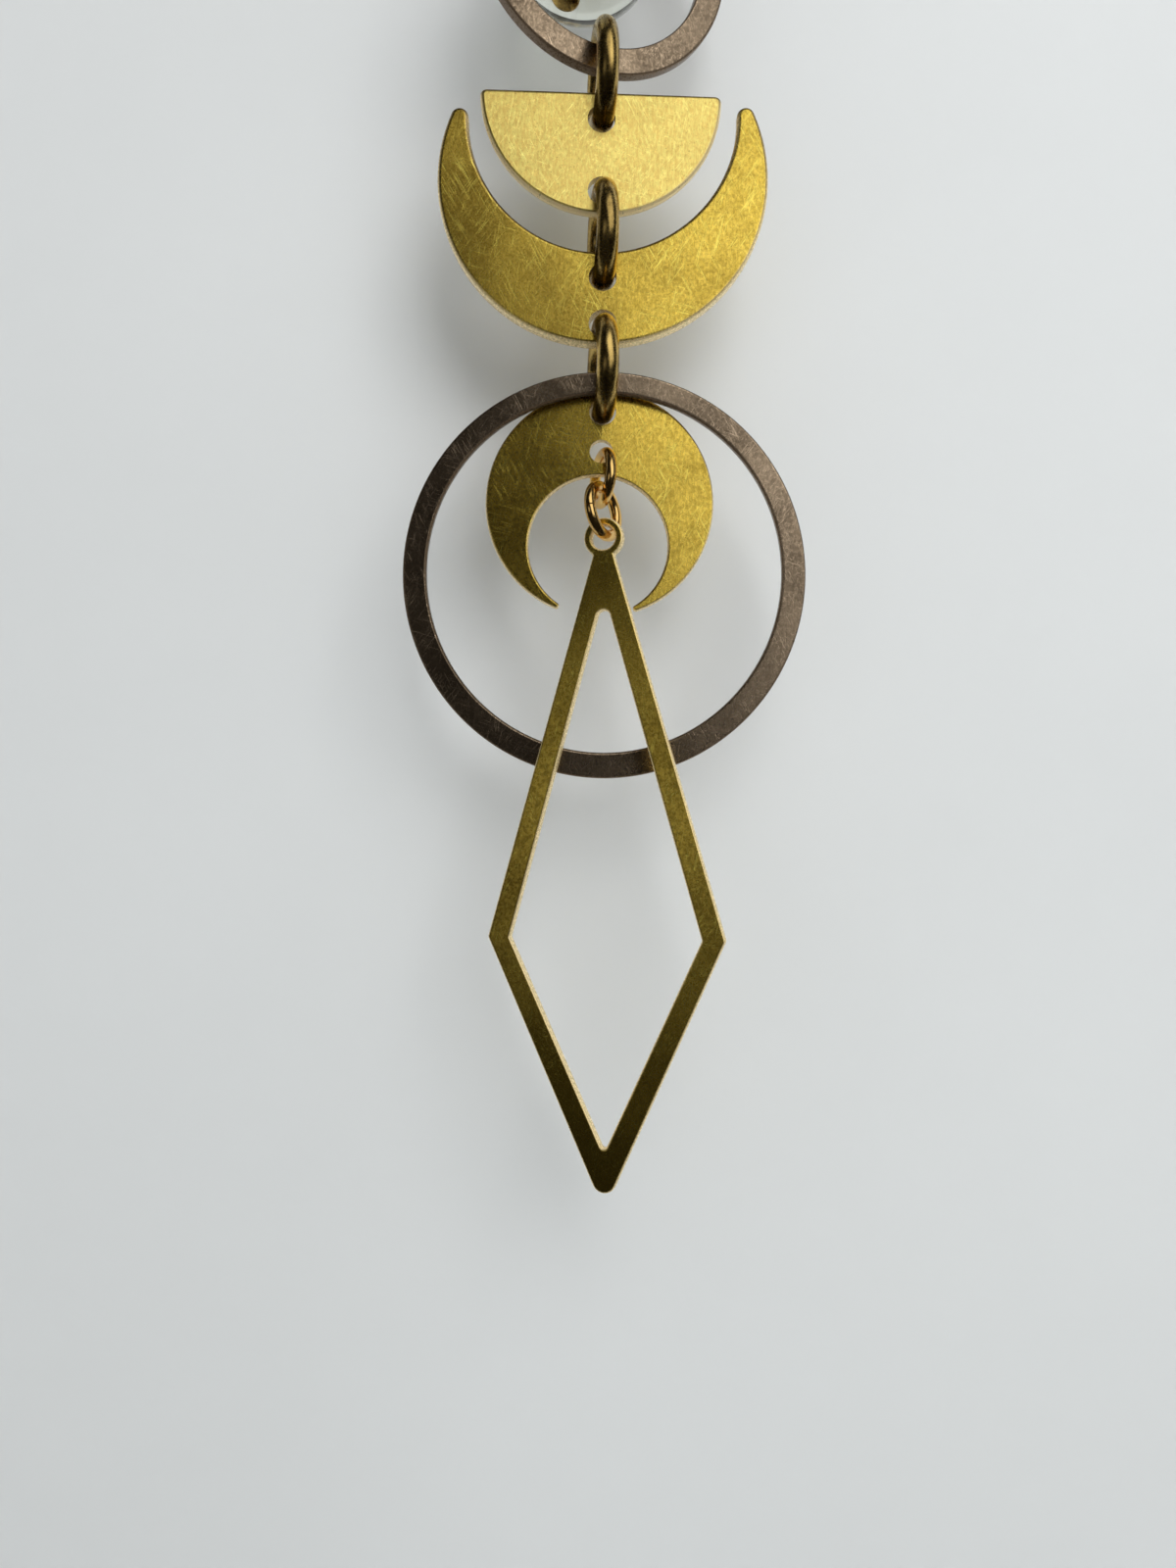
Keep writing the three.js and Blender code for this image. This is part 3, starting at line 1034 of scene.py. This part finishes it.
# ---------------------------------------------------------------- stage


def wall_finish(colour):
    """Pale painted wall and floor; it is clear from behind, so the back of the mobile shows."""
    f = Finish("pale wall")
    cloud = f.noise(f.place((1, 1, 1)), 0.02, detail=3)
    shaded = tuple(0.97 * c for c in colour)
    f.feed(f.blend(f.ramp(cloud, 0.3, 0.7), shaded, colour), f.shader, "Base Color")
    f.shader.inputs["Roughness"].default_value = 0.8
    f.shader.inputs["Specular IOR Level"].default_value = 0.1
    clear = f.node("ShaderNodeBsdfTransparent")
    side = f.node("ShaderNodeNewGeometry")
    choice = f.node("ShaderNodeMixShader")
    f.join(side, "Backfacing", choice, 0)
    f.feed(f.shader, choice, 1)
    f.feed(clear, choice, 2)
    f.feed(choice, f.output, "Surface")
    return f.material


def soft_light(name, place, target, size, power, roll=0.0, glossy=True):
    """A rectangular soft light at a place, aimed at a target, both in millimetres.

    The roll turns it about its aim; one that is not glossy shows in no reflection."""
    deselect_all()
    bpy.ops.object.light_add(type="AREA", location=Vector(place) * MM)
    lamp = bpy.context.active_object
    lamp.name = name
    lamp.data.shape = "RECTANGLE"
    lamp.data.size = size[0] * MM
    lamp.data.size_y = size[1] * MM
    lamp.data.energy = power
    aim = (Vector(target) - Vector(place)).to_track_quat("-Z", "Y").to_matrix().to_4x4()
    lamp.rotation_euler = (aim @ Matrix.Rotation(roll, 4, "Z")).to_euler()
    lamp.visible_glossy = glossy
    return lamp


# Each light's name, place, target, size, power in watts, roll and whether reflections show it.
LIGHTS = (
    ("key softbox", (142, -300, 110), (0, 0, -65), (300, 480), 0.52, radians(23), True),
    ("left card", (-170, -290, -62), (0, 0, -80), (170, 95), 0.018, 0.0, True),
    ("wall fill", (130, -300, 120), (0, 0, -65), (240, 240), 0.53, 0.0, False),
    ("back fill", (-180, 330, 120), (0, 0, -60), (300, 300), 0.8, 0.0, True),
)

# The room's glow: its colour by itself, and then for the rays that see it otherwise.
ROOM_GLOW = (
    ((0.012, 0.011, 0.010), None),
    ((0.30, 0.30, 0.30), "Is Diffuse Ray"),
    ((0.66, 0.68, 0.69), "Is Camera Ray"),
)

# The panels' side, the floor's height and the wall's distance behind the mobile, in metres.
PANEL_SIDE = 1.6
FLOOR_HEIGHT = -0.175
WALL_DEPTH = 9 * MM


class MOBILE_OT_stage(bpy.types.Operator):
    """Set up the pale wall and floor, the soft lights and the camera"""

    bl_idname = "mobile.stage"
    bl_label = "Stage"

    def execute(self, context):
        scene = context.scene
        paint = wall_finish(tuple(scene.mobile_colours.wall))
        deselect_all()
        bpy.ops.mesh.primitive_plane_add(
            size=PANEL_SIDE,
            location=(0, WALL_DEPTH, FLOOR_HEIGHT + PANEL_SIDE / 2),
            rotation=(pi / 2, 0, 0),
        )
        wall = named("wall")
        deselect_all()
        bpy.ops.mesh.primitive_plane_add(size=PANEL_SIDE, location=(0, 0, FLOOR_HEIGHT))
        floor = named("floor")
        floor.visible_glossy = False
        for panel in (wall, floor):
            panel.data.materials.append(paint)
        lights = [soft_light(*settings) for settings in LIGHTS]
        world = bpy.data.worlds.new("studio")
        scene.world = world
        world.use_nodes = True
        tree = world.node_tree
        tree.nodes.clear()
        out = tree.nodes.new("ShaderNodeOutputWorld")
        room = tree.nodes.new("ShaderNodeLightPath")
        seen = None
        for colour, ray in ROOM_GLOW:
            glow = tree.nodes.new("ShaderNodeBackground")
            glow.inputs["Color"].default_value = (*colour, 1)
            if seen is None:
                seen = glow
                continue
            mix = tree.nodes.new("ShaderNodeMixShader")
            tree.links.new(room.outputs[ray], mix.inputs[0])
            tree.links.new(seen.outputs[0], mix.inputs[1])
            tree.links.new(glow.outputs[0], mix.inputs[2])
            seen = mix
        tree.links.new(seen.outputs[0], out.inputs["Surface"])
        scene.view_settings.view_transform = "Standard"

        deselect_all()
        bpy.ops.object.camera_add(
            location=(-1.1 * MM, -84.6 * MM, -84.48 * MM), rotation=(pi / 2, 0, 0)
        )
        camera = bpy.context.active_object
        camera.data.sensor_width = 36
        camera.data.lens = 25.85
        camera.data.clip_start = 0.004
        camera.data.clip_end = 10
        scene.camera = camera
        return {"FINISHED"}


# ---------------------------------------------------------------- panel and main

STEPS = (
    MOBILE_OT_hanging_ring,
    MOBILE_OT_jump_rings,
    MOBILE_OT_top_ring,
    MOBILE_OT_glass_ball,
    MOBILE_OT_ball_pin,
    MOBILE_OT_half_disc,
    MOBILE_OT_large_crescent,
    MOBILE_OT_large_ring,
    MOBILE_OT_small_crescent,
    MOBILE_OT_small_links,
    MOBILE_OT_kite_drop,
    MOBILE_OT_stage,
)


class MOBILE_PT_sidebar(bpy.types.Panel):
    bl_idname = "MOBILE_PT_sidebar"
    bl_label = "Brass mobile"
    bl_space_type = "VIEW_3D"
    bl_region_type = "UI"
    bl_category = "Mobile"

    def draw(self, context):
        for step in STEPS:
            self.layout.operator(step.bl_idname)
        for group in (context.scene.mobile_sizes, context.scene.mobile_colours):
            for name in group.__annotations__:
                self.layout.prop(group, name)


CLASSES = (MobileSizes, MobileColours, *STEPS, MOBILE_PT_sidebar)


def register():
    for cls in CLASSES:
        bpy.utils.register_class(cls)
    bpy.types.Scene.mobile_sizes = bpy.props.PointerProperty(type=MobileSizes)
    bpy.types.Scene.mobile_colours = bpy.props.PointerProperty(type=MobileColours)


def unregister():
    del bpy.types.Scene.mobile_colours
    del bpy.types.Scene.mobile_sizes
    for cls in reversed(CLASSES):
        bpy.utils.unregister_class(cls)


def main():
    register()
    for step in STEPS:
        group, name = step.bl_idname.split(".")
        getattr(getattr(bpy.ops, group), name)()
    deselect_all()


if __name__ == "__main__":
    main()
